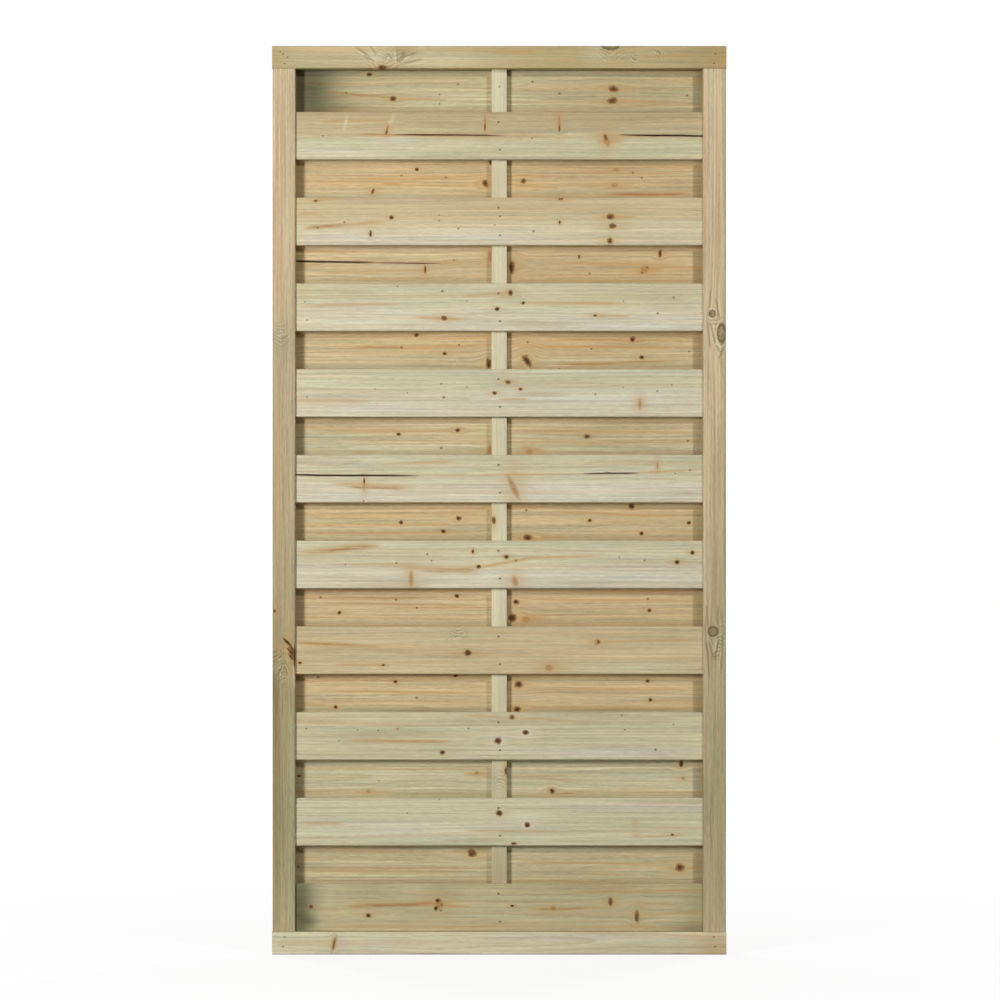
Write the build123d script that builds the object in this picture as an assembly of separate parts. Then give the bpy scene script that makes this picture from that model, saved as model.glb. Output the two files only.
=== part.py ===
"""A framed privacy fence panel with two interleaved layers of slats, in millimetres.

The panel stands on its bottom rail. X runs along its width, its front faces -Y and Z is up.
The origin is at the middle of its underside.
"""

from build123d import *
import math
import os

# Panel, over its rails
PANEL_WIDTH = 900.0
PANEL_HEIGHT = 1800.0

# Frame timber
FRAME_DEPTH = 45.0
RAIL_FACE = 45.0
STILE_FACE = 45.0
STILE_SETBACK = 1.0  # how far the ends of the rails stand past the stiles
FRAME_EASING = 3.0  # radius of the long edges

# Corner joints: a tenon at each end of a stile, in a blind mortise in the rail
TENON_WIDTH = 25.0
TENON_THICKNESS = 13.0
TENON_LENGTH = 36.0
MORTISE_CLEARANCE = 0.2  # on each side of the tenon
MORTISE_END_GAP = 1.0

# Slats, in two layers that cover each other's gaps
SLAT_WIDTH = 95.0
SLAT_THICKNESS = 9.0
SLAT_ROUNDING = 3.0
SLAT_OVERLAP = 10.0  # at least this much of each slat hides behind the next
SLAT_RECESS = 6.5  # from the face of the frame to the face of the slats

# Grooves in the stiles, which take the ends of the slats
GROOVE_DEPTH = 15.0
GROOVE_CLEARANCE = 0.25  # on each side of the slat
GROOVE_END_GAP = 3.0

# Centre batten, which fills the space between the two layers
BATTEN_WIDTH = 30.0
BATTEN_EASING = 1.0

# T-headed nails of flat wire, driven by machine until their heads lie a little below the wood
NAIL_GAUGE = 2.0
NAIL_SHANK = 2.2
NAIL_HEAD = 4.0
NAIL_HEAD_THICKNESS = 1.0
NAIL_POINT = 3.0
NAIL_SET_DEPTH = 0.5
NAIL_HOLE_CLEARANCE = 0.05
SLAT_NAIL_COVER = 3.0  # wood left between the point and the far face of the batten
SLAT_NAIL_EDGE = 20.0  # from the slat's long edges
CORNER_NAIL_COVER = 1.0  # wood left between the point and the far face of the tenon
CORNER_NAIL_EDGE = 10.0  # from the shoulder of the joint to the first nail
CORNER_NAIL_SPACING = 19.0
NAIL_STAGGER = 3.0  # sideways, so that two nails don't split one line of grain

# What follows from those sizes
stile_x = PANEL_WIDTH / 2 - STILE_SETBACK - STILE_FACE / 2
inner_width = 2 * stile_x - STILE_FACE
inner_height = PANEL_HEIGHT - 2 * RAIL_FACE
slat_face = FRAME_DEPTH / 2 - SLAT_RECESS
slat_y = slat_face - SLAT_THICKNESS / 2
batten_thickness = 2 * (slat_face - SLAT_THICKNESS)
slat_length = inner_width + 2 * (GROOVE_DEPTH - GROOVE_END_GAP)
slat_steps = max(1, math.ceil((inner_height - SLAT_WIDTH) / (SLAT_WIDTH - SLAT_OVERLAP) - 1e-6))
slat_pitch = (inner_height - SLAT_WIDTH) / slat_steps
slat_nail_length = SLAT_THICKNESS + batten_thickness - NAIL_SET_DEPTH - SLAT_NAIL_COVER
corner_nail_length = (FRAME_DEPTH + TENON_THICKNESS) / 2 - NAIL_SET_DEPTH - CORNER_NAIL_COVER


def nail(length, clearance=0.0, lead=0.0):
    """A nail that points along +Y, its head's top at the origin, its head lying along X.

    With a clearance and a lead it is the hole for that nail, open in front of the head.
    """
    shank = NAIL_SHANK / 2 + clearance
    head = NAIL_HEAD / 2 + clearance
    tip = length + clearance
    half = [
        (head, -lead),
        (head, NAIL_HEAD_THICKNESS),
        (shank, NAIL_HEAD_THICKNESS),
        (shank, tip - NAIL_POINT),
    ]
    outline = Polyline(half + [(0, tip)] + [(-x, y) for x, y in reversed(half)], close=True)
    return extrude(make_face(outline), NAIL_GAUGE / 2 + clearance, both=True)


def nail_hole(length):
    return nail(length, NAIL_HOLE_CLEARANCE, 2 * NAIL_SET_DEPTH)


def slat_places():
    """Each slat's name, its side (-1 front, +1 rear) and the height of its middle, from the top down."""
    top = PANEL_HEIGHT - RAIL_FACE - SLAT_WIDTH / 2
    places = []
    for step in range(slat_steps + 1):
        layer, side = ("rear", 1) if step % 2 == 0 else ("front", -1)
        places.append((f"{layer}_slat_{step // 2 + 1:02d}", side, top - step * slat_pitch))
    return places


def slat_nail_places(side, height):
    """Where the heads of one slat's two nails lie."""
    face = slat_face - NAIL_SET_DEPTH
    rise = SLAT_WIDTH / 2 - SLAT_NAIL_EDGE
    turn = 0 if side < 0 else 180
    return [
        Pos(-end * NAIL_STAGGER / 2, side * face, height + end * rise) * Rot(0, 0, turn)
        for end in (1, -1)
    ]


def corner_nail_places(hand, end):
    """Where the heads of one corner's two nails lie: hand -1 left or 1 right, end -1 bottom or 1 top."""
    shoulder = PANEL_HEIGHT / 2 + end * inner_height / 2
    face = -FRAME_DEPTH / 2 + NAIL_SET_DEPTH
    rises = (CORNER_NAIL_EDGE, CORNER_NAIL_EDGE + CORNER_NAIL_SPACING)
    return [
        Pos(hand * (stile_x + sway * NAIL_STAGGER / 2), face, shoulder + end * rise)
        for rise, sway in zip(rises, (-1, 1))
    ]


def tenon(hand, end, side_gap=0.0, end_gap=0.0):
    """A tenon on a stile, or with gaps the mortise for it."""
    shoulder = PANEL_HEIGHT / 2 + end * inner_height / 2
    length = TENON_LENGTH + end_gap
    block = Box(TENON_WIDTH + 2 * side_gap, TENON_THICKNESS + 2 * side_gap, length)
    return Pos(hand * stile_x, 0, shoulder + end * length / 2) * block


def rail(end):
    """A full-width rail with two mortises and the holes for its corner nails."""
    height = PANEL_HEIGHT / 2 + end * (inner_height + RAIL_FACE) / 2
    section = Plane.YZ * RectangleRounded(FRAME_DEPTH, RAIL_FACE, FRAME_EASING)
    body = Pos(0, 0, height) * extrude(section, PANEL_WIDTH / 2, both=True)
    for hand in (-1, 1):
        body -= tenon(hand, end, MORTISE_CLEARANCE, MORTISE_END_GAP)
        for place in corner_nail_places(hand, end):
            body -= place * nail_hole(corner_nail_length)
    return body


def stile(hand):
    """A grooved stile with a tenon at each end."""
    section = RectangleRounded(STILE_FACE, FRAME_DEPTH, FRAME_EASING)
    groove = Rectangle(GROOVE_DEPTH, SLAT_THICKNESS + 2 * GROOVE_CLEARANCE)
    for side in (-1, 1):
        section -= Pos(-hand * (STILE_FACE - GROOVE_DEPTH) / 2, side * slat_y) * groove
    body = Pos(hand * stile_x, 0, RAIL_FACE) * extrude(section, inner_height)
    for end in (-1, 1):
        body += tenon(hand, end)
        for place in corner_nail_places(hand, end):
            body -= place * nail_hole(corner_nail_length)
    return body


def slat(side, height):
    """A slat with rounded long edges and the holes for its two nails."""
    section = Plane.YZ * RectangleRounded(SLAT_THICKNESS, SLAT_WIDTH, SLAT_ROUNDING)
    body = Pos(0, side * slat_y, height) * extrude(section, slat_length / 2, both=True)
    for place in slat_nail_places(side, height):
        body -= place * nail_hole(slat_nail_length)
    return body


def centre_batten():
    """The batten that every slat is nailed to, standing between the rails."""
    section = RectangleRounded(BATTEN_WIDTH, batten_thickness, BATTEN_EASING)
    body = Pos(0, 0, RAIL_FACE) * extrude(section, inner_height)
    for _, side, height in slat_places():
        for place in slat_nail_places(side, height):
            body -= place * nail_hole(slat_nail_length)
    return body


def slat_nails(layer):
    """All the nails of one layer of slats, as separate solids."""
    nails = []
    for _, side, height in slat_places():
        if side == layer:
            nails += [place * nail(slat_nail_length) for place in slat_nail_places(side, height)]
    return Compound(children=nails)


def corner_nails():
    """The nails of all four corners, as separate solids."""
    nails = []
    for hand in (-1, 1):
        for end in (-1, 1):
            nails += [place * nail(corner_nail_length) for place in corner_nail_places(hand, end)]
    return Compound(children=nails)


pieces = {
    "top_rail": rail(1),
    "bottom_rail": rail(-1),
    "left_stile": stile(-1),
    "right_stile": stile(1),
    "centre_batten": centre_batten(),
    "front_slat_nails": slat_nails(-1),
    "rear_slat_nails": slat_nails(1),
    "corner_nails": corner_nails(),
}
for slat_name, slat_side, slat_height in slat_places():
    pieces[slat_name] = slat(slat_side, slat_height)

os.makedirs("parts", exist_ok=True)
for name, shape in pieces.items():
    export_step(shape, f"parts/{name}.step")
    print(name, round(shape.volume), "cubic mm")
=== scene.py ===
# %% [markdown]
# # A privacy fence panel in pressure-treated pine
# The panel is a square timber frame with two layers of slats that cover each other's gaps.
# The solids already have their true sizes, so this lesson is about finish: every board gets its own
# growth rings, knots, resin streaks and stains, and the boards that split as they dried get real cracks.
# We start by loading the solids and keeping their box.

# %% Load the solids
import bmesh
import bpy
import math
from collections import namedtuple
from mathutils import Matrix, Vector


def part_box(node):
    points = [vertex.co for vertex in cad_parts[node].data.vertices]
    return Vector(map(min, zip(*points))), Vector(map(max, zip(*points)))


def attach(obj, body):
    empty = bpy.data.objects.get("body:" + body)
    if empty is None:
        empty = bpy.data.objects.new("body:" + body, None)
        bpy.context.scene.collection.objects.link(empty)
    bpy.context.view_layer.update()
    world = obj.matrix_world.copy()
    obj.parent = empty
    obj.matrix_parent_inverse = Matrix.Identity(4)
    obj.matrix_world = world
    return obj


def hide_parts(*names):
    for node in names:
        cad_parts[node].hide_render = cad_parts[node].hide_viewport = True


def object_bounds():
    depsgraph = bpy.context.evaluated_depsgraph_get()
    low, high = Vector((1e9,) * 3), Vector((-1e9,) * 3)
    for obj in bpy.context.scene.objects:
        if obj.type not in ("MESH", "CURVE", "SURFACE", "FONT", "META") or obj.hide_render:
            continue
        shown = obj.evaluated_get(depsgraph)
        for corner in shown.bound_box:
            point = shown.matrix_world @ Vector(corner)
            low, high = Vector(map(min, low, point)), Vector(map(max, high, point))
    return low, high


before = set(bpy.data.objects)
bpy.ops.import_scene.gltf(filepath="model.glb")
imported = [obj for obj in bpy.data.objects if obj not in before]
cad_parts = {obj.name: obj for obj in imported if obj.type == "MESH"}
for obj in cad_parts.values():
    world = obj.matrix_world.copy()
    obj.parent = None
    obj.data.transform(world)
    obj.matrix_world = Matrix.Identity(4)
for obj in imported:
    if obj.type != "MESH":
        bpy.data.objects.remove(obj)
solid_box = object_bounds()
print("solids:", len(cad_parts), "box:", solid_box)

# %% [markdown]
# Knots and streaks are read off the photograph, so their places are written as its pixels.
# The panel is flat and faces the camera, so one straight rule from its outline turns a pixel into metres.
# Depth comes from the board that carries the mark, never from the picture.

# %% From a pixel of the photograph to a place on the panel
SEEN_LEFT, SEEN_RIGHT = 271.2, 727.3
SEEN_TOP, SEEN_BOTTOM = 45.8, 954.7
PANEL_LOW, PANEL_HIGH = Vector(solid_box[0]), Vector(solid_box[1])
PANEL_SIZE = PANEL_HIGH - PANEL_LOW
PIXEL = PANEL_SIZE.z / (SEEN_BOTTOM - SEEN_TOP)


def seen(px, py):
    """The (x, z) place on the panel, in metres, that shows at a pixel of the photograph."""
    x = PANEL_LOW.x + (px - SEEN_LEFT) / (SEEN_RIGHT - SEEN_LEFT) * PANEL_SIZE.x
    z = PANEL_HIGH.z - (py - SEEN_TOP) / (SEEN_BOTTOM - SEEN_TOP) * PANEL_SIZE.z
    return x, z


print("one pixel is", round(PIXEL * 1000, 3), "mm")

# %% [markdown]
# A wood shader needs many small nodes. Typing each link by hand hides the idea, so a short helper adds
# a node, feeds its inputs with numbers or with other nodes' outputs, and hands back the output.
# Formulas then read like formulas.

# %% A helper that writes node trees
NOISE_ROUGHNESS = 0.55


class Recipe:
    """Adds linked nodes to a tree. Most methods return one output socket."""

    def __init__(self, tree):
        self.tree = tree

    def feed(self, socket, value):
        if isinstance(value, bpy.types.NodeSocket):
            self.tree.links.new(value, socket)
        else:
            socket.default_value = value

    def add(self, kind, inputs=(), output=0, **settings):
        node = self.tree.nodes.new(kind)
        for name, value in settings.items():
            setattr(node, name, value)
        for name, value in dict(inputs).items():
            self.feed(node.inputs[name], value)
        return node.outputs[output]

    def group(self, tree, inputs):
        """A copy of a node group. Returns all its outputs."""
        node = self.tree.nodes.new("ShaderNodeGroup")
        node.node_tree = tree
        for name, value in inputs.items():
            self.feed(node.inputs[name], value)
        return node.outputs

    def math(self, operation, *values, clamp=False):
        return self.add("ShaderNodeMath", enumerate(values), operation=operation, use_clamp=clamp)

    def total(self, operation, values, start=0.0):
        """One sum, product or other chain over a list of values."""
        result = start
        for value in values:
            result = self.math(operation, result, value)
        return result

    def vector(self, operation, *values):
        measures = {"LENGTH": "Value", "DOT_PRODUCT": "Value"}
        output = measures.get(operation, "Vector")
        return self.add("ShaderNodeVectorMath", enumerate(values), output=output, operation=operation)

    def split(self, vector):
        """The three numbers of a vector."""
        node = self.tree.nodes.new("ShaderNodeSeparateXYZ")
        self.feed(node.inputs["Vector"], vector)
        return node.outputs

    def join(self, x=0.0, y=0.0, z=0.0):
        return self.add("ShaderNodeCombineXYZ", {"X": x, "Y": y, "Z": z})

    def between(self, value, low, high):
        """0 at low, 1 at high, with soft ends."""
        inputs = {"Value": value, "From Min": low, "From Max": high}
        return self.add("ShaderNodeMapRange", inputs, interpolation_type="SMOOTHSTEP")

    def stretch(self, value, low, high, to_low, to_high):
        """The value's range from low to high, laid on the range from to_low to to_high."""
        inputs = {"Value": value, "From Min": low, "From Max": high, "To Min": to_low, "To Max": to_high}
        return self.add("ShaderNodeMapRange", inputs)

    def noise(self, place, scale, detail=2.0, output="Fac"):
        """Noise stretched by a scale for each direction of the board."""
        stretched = self.vector("MULTIPLY", place, scale)
        inputs = {"Vector": stretched, "Scale": 1.0, "Detail": detail}
        inputs["Roughness"] = NOISE_ROUGHNESS
        return self.add("ShaderNodeTexNoise", inputs, output=output)

    def turn(self, vector, angle):
        """The vector turned about the direction through the board."""
        inputs = {"Vector": vector, "Angle": angle}
        return self.add("ShaderNodeVectorRotate", inputs, rotation_type="Z_AXIS")

    def bell(self, vector):
        """1 where the vector is nought, falling off smoothly as it grows."""
        squared = self.vector("DOT_PRODUCT", vector, vector)
        return self.math("EXPONENT", self.math("MULTIPLY", squared, -1.0))

    def blend(self, factor, under, over, blend_type="MIX"):
        inputs = {"Factor": factor, 6: under, 7: over}
        return self.add("ShaderNodeMix", inputs, output=2, data_type="RGBA", blend_type=blend_type)


# %% [markdown]
# A node group is a formula with a name: written once, then copied with other numbers. This helper opens
# an empty one and hands back its entry and its exit.

# %% Empty node groups
def node_group(name, inputs, outputs):
    """An empty node group. inputs and outputs give each socket's kind by its name."""
    tree = bpy.data.node_groups.new(name, "ShaderNodeTree")
    for names, way in ((inputs, "INPUT"), (outputs, "OUTPUT")):
        for label, kind in names.items():
            tree.interface.new_socket(label, in_out=way, socket_type="NodeSocket" + kind)
    entry = tree.nodes.new("NodeGroupInput").outputs
    leave = tree.nodes.new("NodeGroupOutput").inputs
    return Recipe(tree), entry, leave


# %% [markdown]
# A plank shows the tree it was cut from: growth rings around a pith that lies outside the board.
# Measuring each point's distance to that pith gives long lines on the faces and arcs on the sawn ends
# from one formula. Noise that is stretched along the board bends the rings and adds fibres, fine streaks,
# broad bands and slow patches.

# %% Growth rings and fibres
BEND_SCALE = (1.7, 7.0, 7.0)
BEND_REACH = (0.0, 0.016, 0.016)
YEAR_PACE = 0.37
YEAR_DRIFT = 2.4
LATE_SHARPNESS = 2.2
FIBRE_SCALE = (55.0, 620.0, 620.0)
STREAK_SCALE = (4.5, 270.0, 270.0)
BAND_SCALE = (1.5, 95.0, 95.0)
PATCH_SCALE = (2.6, 30.0, 30.0)


def make_growth_rings():
    inputs = {"Place": "Vector", "Swerve": "Float", "Pith": "Vector", "Gap": "Float", "Seed": "Vector"}
    outputs = {"Late": "Float", "Fibre": "Float", "Streak": "Float", "Band": "Float", "Patch": "Float"}
    r, entry, leave = node_group("growth_rings", inputs, outputs)
    swept = r.vector("ADD", entry["Place"], r.join(y=entry["Swerve"]))
    own = r.vector("ADD", swept, entry["Seed"])
    bend = r.vector("SUBTRACT", r.noise(own, BEND_SCALE, output="Color"), (0.5, 0.5, 0.5))
    bend = r.vector("MULTIPLY", bend, BEND_REACH)
    spoke = r.vector("SUBTRACT", r.vector("ADD", swept, bend), entry["Pith"])
    radius = r.vector("LENGTH", r.vector("MULTIPLY", spoke, (0.0, 1.0, 1.0)))
    years = r.math("DIVIDE", radius, entry["Gap"])
    pace = {"W": r.math("MULTIPLY", years, YEAR_PACE), "Detail": 1.0, "Scale": 1.0}
    uneven = r.add("ShaderNodeTexNoise", pace, noise_dimensions="1D")
    season = r.math("FRACT", r.math("ADD", years, r.math("MULTIPLY", uneven, YEAR_DRIFT)))
    late = r.math("MULTIPLY", r.math("POWER", season, LATE_SHARPNESS), r.between(season, 1.0, 0.9))
    r.feed(leave["Late"], late)
    r.feed(leave["Fibre"], r.noise(own, FIBRE_SCALE, 2.0))
    r.feed(leave["Streak"], r.noise(own, STREAK_SCALE, 3.0))
    r.feed(leave["Band"], r.noise(own, BAND_SCALE, 2.0))
    r.feed(leave["Patch"], r.noise(own, PATCH_SCALE, 2.0))
    return r.tree


GROWTH_RINGS = make_growth_rings()
print("ring group nodes:", len(GROWTH_RINGS.nodes))

# %% [markdown]
# A knot is a branch that the trunk grew round. It is a dark oval, it stains the wood beside it amber, and
# the rings part and close again around it. One group measures a point's distance to a knot in knot radii,
# a wide soft halo, and how far to push the rings aside. Every knot on the panel is a copy of this group
# with its own numbers.

# %% Knots
HALO_ALONG, HALO_ACROSS = 0.24, 0.45
RING_PUSH = -0.7


def make_knot():
    inputs = {"Place": "Vector", "Centre": "Vector", "Shrink": "Vector", "Tilt": "Float"}
    outputs = {"Distance": "Float", "Halo": "Float", "Push": "Float"}
    r, entry, leave = node_group("knot", inputs, outputs)
    offset = r.vector("SUBTRACT", entry["Place"], entry["Centre"])
    radii = r.vector("MULTIPLY", r.turn(offset, entry["Tilt"]), entry["Shrink"])
    r.feed(leave["Distance"], r.vector("LENGTH", radii))
    wide = r.vector("MULTIPLY", offset, entry["Shrink"])
    wide = r.vector("MULTIPLY", wide, (HALO_ALONG, HALO_ACROSS, 0.0))
    halo = r.bell(wide)
    r.feed(leave["Halo"], halo)
    across = r.split(offset)[1]
    r.feed(leave["Push"], r.math("MULTIPLY", r.math("MULTIPLY", across, halo), RING_PUSH))
    return r.tree


KNOT = make_knot()
print("knot group nodes:", len(KNOT.nodes))

# %% [markdown]
# Beside a branch the rings stand up in arches, like flames. They could come from a full model of the
# branch, but a board shows only one slice of it, so a fan of parabolas under a soft mask is enough.

# %% Fans of arched rings
FAN_GAP = 3.8 * PIXEL
FAN_SHIVER = 2.5 * FAN_GAP
SHIVER_SCALE = (60.0, 60.0, 60.0)
FAN_SHARPNESS = 1.6


def make_fan():
    inputs = {"Place": "Vector", "Centre": "Vector", "Shrink": "Vector", "Tilt": "Float", "Bow": "Float"}
    r, entry, leave = node_group("fan", inputs, {"Late": "Float", "Mask": "Float"})
    offset = r.turn(r.vector("SUBTRACT", entry["Place"], entry["Centre"]), entry["Tilt"])
    ahead, aside, _ = r.split(offset)
    sag = r.math("MULTIPLY", r.math("MULTIPLY", aside, aside), entry["Bow"])
    shiver = r.math("MULTIPLY", r.noise(entry["Place"], SHIVER_SCALE, 2.0), FAN_SHIVER)
    level = r.math("ADD", r.math("ADD", ahead, sag), shiver)
    season = r.math("FRACT", r.math("DIVIDE", level, FAN_GAP))
    late = r.math("MULTIPLY", r.math("POWER", season, FAN_SHARPNESS), r.between(season, 1.0, 0.8))
    mask = r.bell(r.vector("MULTIPLY", offset, entry["Shrink"]))
    r.feed(leave["Late"], r.math("MULTIPLY", late, mask))
    r.feed(leave["Mask"], mask)
    return r.tree


FAN = make_fan()
print("fan group nodes:", len(FAN.nodes))

# %% [markdown]
# Resin and heartwood leave long lens-shaped streaks. Each is a soft band along a line: widest in its
# middle and gone at its ends.

# %% Streaks
END_TAPER = 6.0


def make_streak():
    inputs = {"Place": "Vector", "Start": "Vector", "Run": "Vector", "Half width": "Float"}
    r, entry, leave = node_group("streak", inputs, {"Amount": "Float"})
    flat = r.vector("MULTIPLY", entry["Place"], (1.0, 1.0, 0.0))
    offset = r.vector("SUBTRACT", flat, entry["Start"])
    reach = r.vector("DOT_PRODUCT", entry["Run"], entry["Run"])
    share = r.math("DIVIDE", r.vector("DOT_PRODUCT", offset, entry["Run"]), reach, clamp=True)
    on_line = r.add("ShaderNodeVectorMath", {0: entry["Run"], "Scale": share}, operation="SCALE")
    gap = r.vector("LENGTH", r.vector("SUBTRACT", offset, on_line))
    gap = r.math("DIVIDE", gap, entry["Half width"])
    soft = r.math("EXPONENT", r.math("MULTIPLY", r.math("MULTIPLY", gap, gap), -1.0))
    rest = r.math("SUBTRACT", 1.0, share)
    ends = r.math("MULTIPLY", r.math("MULTIPLY", share, rest), END_TAPER, clamp=True)
    r.feed(leave["Amount"], r.math("MULTIPLY", soft, ends))
    return r.tree


STREAK = make_streak()
print("streak group nodes:", len(STREAK.nodes))

# %% [markdown]
# The palette. Fresh treated pine is a pale greenish cream where it is sapwood, and a warm tan nearer the
# heart. The colours are written as they look on a screen, and turned into the linear light that a shader
# works in.

# %% Palette
def screen(red, green, blue):
    """A colour as seen on a screen, from 0 to 255, as the linear colour of a shader."""
    def linear(c):
        c = c / 255
        return c / 12.92 if c <= 0.04045 else ((c + 0.055) / 1.055) ** 2.4
    return linear(red), linear(green), linear(blue), 1.0


TONES = {
    "chalk": screen(216, 210, 176),
    "cream": screen(210, 200, 167),
    "silver": screen(211, 203, 176),
    "mint": screen(204, 198, 166),
    "green": screen(200, 193, 158),
    "tan": screen(201, 184, 145),
    "ochre": screen(204, 181, 138),
    "blush": screen(209, 190, 156),
    "fawn": screen(197, 181, 149),
    "sage": screen(195, 186, 148),
    "olive": screen(191, 181, 142),
    "khaki": screen(183, 169, 123),
    "drab": screen(187, 170, 133),
    "stone": screen(184, 168, 135),
    "honey": screen(192, 150, 98),
    "moss": screen(172, 166, 130),
    "lichen": screen(156, 150, 111),
    "amber": screen(186, 146, 92),
    "rust": screen(156, 114, 66),
    "tea": screen(160, 142, 104),
    # this tone is the colour of painted shade on the rear slats, not a stain
    "soaked": screen(136, 116, 78),
    "bark": screen(116, 100, 64),
    "damp": screen(121, 126, 117),
    "milk": screen(213, 207, 185),
    "pale": screen(224, 219, 200),
}
LATEWOOD = screen(160, 128, 82)
FAN_LINE = screen(118, 100, 60)
SPECK = screen(104, 82, 50)
SPIKE_KNOT = screen(156, 116, 64)
BROWN_KNOT = screen(118, 78, 36)
DARK_KNOT = screen(54, 34, 14)
RING_RIM = screen(84, 66, 36)
# the crack colours are dirt in the cracks and painted shade inside them
CRACK_EDGE = screen(132, 92, 56)
CRACK_CORE_DIRT_AND_SHADE = screen(52, 34, 20)
BRUISE = screen(96, 84, 62)
print("tones:", len(TONES))

# %% [markdown]
# Now the marks that make each board itself. For every board the list gives its two tones, for its upper
# and lower part (left and right on an upright), then its knots, streaks, clouds, fans and cracks.
# A knot is (x, y, radius) in pixels, with a second radius across the grain and a lean in degrees where it
# isn't round. Dark knots are dead branches, brown ones live branches, rings show their own edge, and
# spikes are branches that the saw cut lengthwise. A streak is (x, y, x, y, half width): amber and rust are
# resin, pale and shade are single lines of grain that turn round a knot. A cloud, like a soak, is (tone, x,
# y, radius along the grain, radius across it), with a strength where it is faint. A fan is (x, y, radius the
# way it points, radius beside it, bow, way it points in degrees). Glow is how much knots stain the wood.

# %% Marks of the upper front slats
MARKS = {
    "front_slat_01": {
        "tones": ("drab", "green"),
        "dark": [(532, 137.8, 0.8), (322, 135.6, 0.8)],
        "brown": [(484.8, 127, 0.9, 3.0), (559.6, 128, 1.0, 3.2), (386, 132, 1.0, 2.6, -20),
                  (606, 137, 1.4, 3.0, 18)],
        "spike": [(386.5, 129, 1.4, 4.5, -20), (485, 123, 1.0, 8.0), (559.6, 122, 1.1, 8.0),
                  (607, 140, 2.8, 6.8, 18)],
        "amber": [(345, 134, 470, 135.4, 1.4), (590, 136, 680, 135, 1.5), (596, 141, 626, 140, 2.6),
                  (316, 121, 396, 119, 1.0)],
        "rust": [(360, 133.6, 420, 134.2, 0.8)],
        "pale": [(343, 131, 347, 114, 1.5), (388, 126, 394, 113, 1.9)],
        "cloud": [("tan", 420, 122, 70, 9, 0.5), ("tea", 640, 118, 60, 6, 0.3),
                  ("milk", 396, 140, 16, 7, 0.5), ("milk", 330, 152, 60, 7, 0.5)],
        "crack": [(392, 134.2, 505, 135.2, 0.68), (618, 134.6, 716, 135.9, 0.74)],
    },
    "front_slat_02": {
        "tones": ("tan", "cream"),
        "dark": [(391, 217.3, 1.6), (343.7, 222, 0.9), (317, 227.5, 1.0), (370, 233.7, 0.9, 2.4),
                 (438.8, 214.7, 0.7), (438.8, 220.4, 0.7), (458, 228.3, 0.9), (500, 216.2, 0.9),
                 (494.8, 224.8, 0.7), (533.6, 231, 1.1), (560, 222, 0.7, 1.4), (609.8, 217.4, 1.4, 1.0),
                 (612, 225.4, 1.3, 0.9), (610.4, 241.6, 1.3, 1.0)],
        "brown": [(561, 198.8, 2.6, 1.0), (314.6, 200.6, 2.0, 1.0), (611.2, 216.3, 3.7, 2.8),
                  (613, 225.7, 3.4, 2.5), (610.4, 240.6, 2.5, 3.0)],
        "rust": [(304, 228, 348, 223.8, 1.4)],
        "amber": [(298, 228.4, 392, 220.8, 2.3), (600, 217, 640, 217, 1.6), (296, 213, 322, 213, 1.6),
                  (312, 199.6, 346, 198.8, 0.9)],
        "cloud": [("milk", 350, 238, 50, 6), ("milk", 480, 237, 60, 6)],
    },
    "front_slat_03": {
        "tones": ("mint", "silver"),
        "dark": [(397, 286.3, 0.8), (442.2, 291, 1.2), (497, 308.8, 1.7, 1.4), (523.3, 302.8, 1.3),
                 (304, 301.8, 0.7), (306.3, 320, 0.8), (466.6, 300.6, 0.7), (658.3, 313.2, 1.0),
                 (674.3, 297.3, 1.0), (624, 301, 0.7), (511, 292.4, 1.2, 1.6)],
        "brown": [(510.4, 292.6, 2.3, 2.9), (443.8, 318, 2.8, 2.2), (595.4, 315.3, 1.8, 1.2)],
        "amber": [(410, 317, 470, 319.4, 1.6), (520, 302.4, 630, 303.4, 1.9), (594, 316, 632, 316, 1.7),
                  (298, 306, 400, 304, 1.5), (460, 296, 512, 293, 1.5)],
        "cloud": [("milk", 620, 326, 90, 6), ("olive", 330, 291, 40, 5, 0.6),
                  ("sage", 630, 296, 90, 10, 0.7), ("khaki", 302, 290, 10, 12, 0.4)],
    },
    "front_slat_04": {
        "tones": ("mint", "silver"),
        "dark": [(374.4, 389, 0.7), (441, 383.8, 0.9), (466.7, 387.2, 0.7), (443.6, 397.2, 1.2),
                 (494.6, 393, 1.5, 1.2), (520.6, 389, 1.4, 1.0), (407, 392.8, 0.7), (306, 396.6, 0.8),
                 (658, 391, 0.9), (672.6, 385, 0.7), (596, 394, 0.8), (624, 387.2, 0.6)],
        "brown": [(508, 382, 2.5, 2.0)],
        "spike": [(640.4, 404, 1.6, 5.0)],
        "amber": [(288, 400.6, 370, 401.6, 1.9), (498, 399, 530, 399.4, 1.2), (634, 406, 650, 406, 1.2)],
        "pale": [(328, 381.6, 336, 378.6, 0.7), (392, 381, 400, 378, 0.7)],
        "cloud": [("milk", 600, 400, 110, 7), ("milk", 380, 410, 70, 4)],
    },
    "front_slat_05": {
        "tones": ("mint", "silver"),
        "dark": [(363, 501, 0.8), (690.6, 470, 0.9), (676, 473.4, 0.7), (363.6, 480.6, 0.6, 1.8)],
        "spike": [(363.6, 484, 1.0, 6.0), (513.6, 487.6, 2.8, 12.8, 26), (658, 465.4, 0.9, 4.0)],
        "rust": [(344, 487, 406, 488.6, 1.2)],
        "amber": [(326, 483, 416, 487, 3.0), (378, 464, 458, 461.8, 1.5), (410, 475.4, 586, 474, 1.0),
                  (636, 473, 706, 469.4, 1.1)],
        "cloud": [("milk", 610, 492, 120, 8), ("milk", 350, 496, 60, 5)],
        "crack": [(284, 475.0, 424, 475.8, 0.78), (582, 473.6, 641, 473, 0.56)],
    },
}
print("front slats so far:", len(MARKS))

# %% [markdown]
# The lower half has weathered more: rain splashes up from the ground, so the boards get greener and greyer,
# and the last slat has taken up damp at its end. One long list would do too, but a list for each part of the
# panel is easier to check against the picture.

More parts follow.
